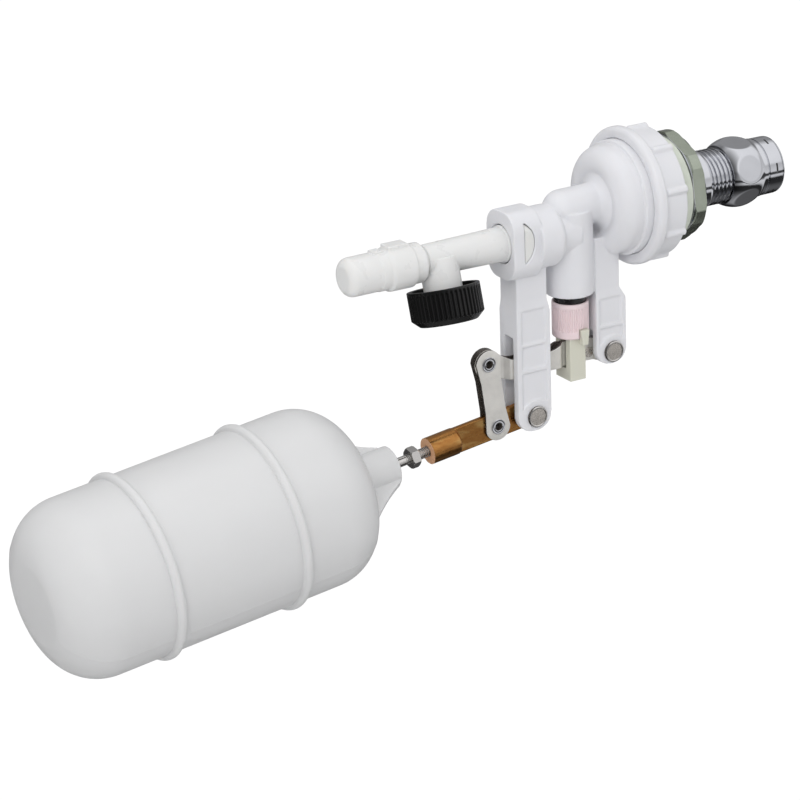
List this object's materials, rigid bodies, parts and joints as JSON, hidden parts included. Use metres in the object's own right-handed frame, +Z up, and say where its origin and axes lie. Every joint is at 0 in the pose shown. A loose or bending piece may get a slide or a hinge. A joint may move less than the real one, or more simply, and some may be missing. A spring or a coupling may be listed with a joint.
{
  "type": "float valve",
  "caption": "Side-inlet cistern float valve: threaded inlet with nuts, moulded body, swivel spout, compound lever linkage and a ribbed cylindrical float.",
  "frame": {"origin": "on the inlet axis, in the plane where the flange gasket bears on the tank wall", "axes": "+X along the inlet shank towards the outside of the tank, +Z up, the float and spout towards -X"},
  "size_m": [0.3136, 0.07, 0.158],
  "materials": {
    "white_moulding": "moulded, satin",
    "float_moulding": "blow moulded, satin, slightly translucent",
    "natural_moulding": "moulded, semi-gloss, milky",
    "black_moulding": "moulded, satin",
    "pink_moulding": "moulded, satin",
    "ivory_moulding": "moulded, satin",
    "black_rubber": "moulded",
    "pale_rubber": "moulded, matt",
    "chrome": "bright plated",
    "stainless": "stamped, tumbled",
    "brass": "turned and milled, unpolished"
  },
  "bodies": {
    "body": {"valve_body": "white_moulding", "inlet_shank": "chrome", "body_seal": "black_rubber", "mounting_gasket": "pale_rubber", "coupling_washer": "black_rubber", "inlet_strainer": "natural_moulding", "valve_seat": "brass", "spout_clip": "ivory_moulding", "lever_pin": "stainless", "arm_pin": "stainless"},
    "union": {"union_nut": "white_moulding"},
    "lock": {"lock_nut": "chrome"},
    "coupling": {"coupling_nut": "chrome"},
    "spout": {"spout_tube": "natural_moulding", "spout_oring": "black_rubber", "spout_plug": "natural_moulding", "plug_seal": "black_rubber", "outlet_seal": "black_rubber"},
    "outlet": {"outlet_nut": "black_moulding"},
    "float_arm": {"brass_arm": "brass", "float_rod": "stainless", "float_lock_nut": "stainless", "float_shell": "float_moulding"},
    "link": {"link_plate_front": "stainless", "link_plate_back": "stainless", "link_rivets": "stainless"},
    "lever": {"lever_plate_front": "stainless", "lever_plate_back": "stainless", "lever_rivet": "stainless"},
    "stem": {"valve_stem": "ivory_moulding", "stem_cap": "pink_moulding", "stem_packing": "black_rubber", "valve_disc": "black_rubber"}
  },
  "joints": [
    {"name": "float_pivot", "type": "hinge", "parent": "body", "child": "float_arm", "pos_m": [-0.0609, 0, -0.0748], "axis": [0, 1, 0], "range_deg": [-20, 14]},
    {"name": "link_pivot", "type": "hinge", "parent": "float_arm", "child": "link", "pos_m": [-0.07537, 0, -0.07673], "axis": [0, 1, 0], "range_deg": [-11.9, 17]},
    {"name": "lever_pivot", "type": "hinge", "parent": "body", "child": "lever", "pos_m": [-0.0272, 0, -0.0566], "axis": [0, 1, 0], "range_deg": [-5.76, 4.03]},
    {"name": "stem_slide", "type": "slide", "parent": "body", "child": "stem", "axis": [0, 0, 1], "range_m": [-0.00149, 0.00104]},
    {"name": "spout_swivel", "type": "hinge", "parent": "body", "child": "spout", "pos_m": [-0.07, 0, -0.0081], "axis": [1, 0, 0], "range_deg": [-30, 60]},
    {"name": "outlet_turn", "type": "hinge", "parent": "spout", "child": "outlet", "pos_m": [-0.0979, 0, -0.0081], "axis": [0, -0.289, -0.9573], "continuous": true},
    {"name": "union_turn", "type": "hinge", "parent": "body", "child": "union", "pos_m": [-0.012, 0, 0], "axis": [1, 0, 0], "continuous": true},
    {"name": "lock_turn", "type": "hinge", "parent": "body", "child": "lock", "pos_m": [0.003, 0, 0], "axis": [1, 0, 0], "continuous": true},
    {"name": "coupling_turn", "type": "hinge", "parent": "body", "child": "coupling", "pos_m": [0.03, 0, 0], "axis": [1, 0, 0], "continuous": true}
  ],
  "couplings": [
    {"joint": "link_pivot", "follows": "float_pivot", "ratio": -0.8478},
    {"joint": "lever_pivot", "follows": "float_pivot", "ratio": 0.2871},
    {"joint": "stem_slide", "follows": "float_pivot", "m_per_rad": 0.004249}
  ]
}
